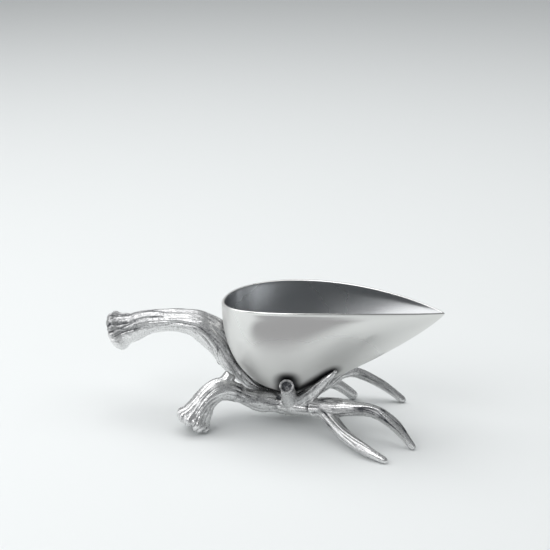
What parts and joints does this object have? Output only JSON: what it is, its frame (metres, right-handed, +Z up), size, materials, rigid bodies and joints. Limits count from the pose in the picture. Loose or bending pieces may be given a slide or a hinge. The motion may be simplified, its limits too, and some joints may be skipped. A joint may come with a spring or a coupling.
{
  "type": "sauce boat",
  "caption": "Polished teardrop sauce boat with a pouring spout, carried on cast antler pieces that form its handle and feet.",
  "frame": {"origin": "on the table, under the middle of the whole object's box", "axes": "+X from the handle's burr towards the spout, +Y to the side of the two far feet, +Z up"},
  "size_m": [0.2652, 0.1258, 0.102],
  "materials": {
    "polished": "polished",
    "antiqued": "satin",
    "steel": "satin",
    "solder": "satin"
  },
  "bodies": {
    "root": {"bowl": "polished", "handle_antler": "antiqued", "base_antler": "antiqued", "tine_solder": "solder", "handle_keel_screw": "steel", "handle_keel_washer": "steel", "base_keel_screw": "steel", "base_keel_washer": "steel", "rear_screw": "steel", "rear_washer": "steel", "cross_screw": "steel", "cross_washer": "steel"}
  },
  "joints": []
}
